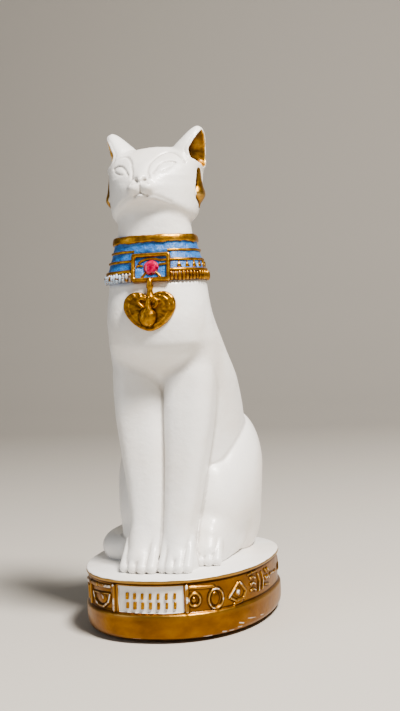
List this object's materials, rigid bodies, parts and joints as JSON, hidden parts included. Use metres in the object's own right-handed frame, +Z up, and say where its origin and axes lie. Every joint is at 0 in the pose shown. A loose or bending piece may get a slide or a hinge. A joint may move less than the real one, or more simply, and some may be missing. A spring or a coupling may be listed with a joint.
{
  "type": "seated cat figurine",
  "caption": "Seated ancient Egyptian cat figure with a broad collar, heart-shaped pendant and a stone in the buckle, on an oval plinth; stands on rubber feet as a shelf ornament.",
  "frame": {"origin": "under the middle of the plinth, in the plane the rubber feet stand on", "axes": "+Z up; the cat looks along -Y; the cat's own left side is +X"},
  "size_m": [0.0808, 0.0998, 0.2083],
  "materials": {
    "painted_resin": "glossy white paint with brushed gold and blue enamel parts",
    "stone": "faceted and polished",
    "pad": "matt"
  },
  "bodies": {
    "root": {"cat_statue": "painted_resin", "collar_gem": "stone", "foot_pad_front_right": "pad", "foot_pad_front_left": "pad", "foot_pad_back_right": "pad", "foot_pad_back_left": "pad"}
  },
  "joints": []
}
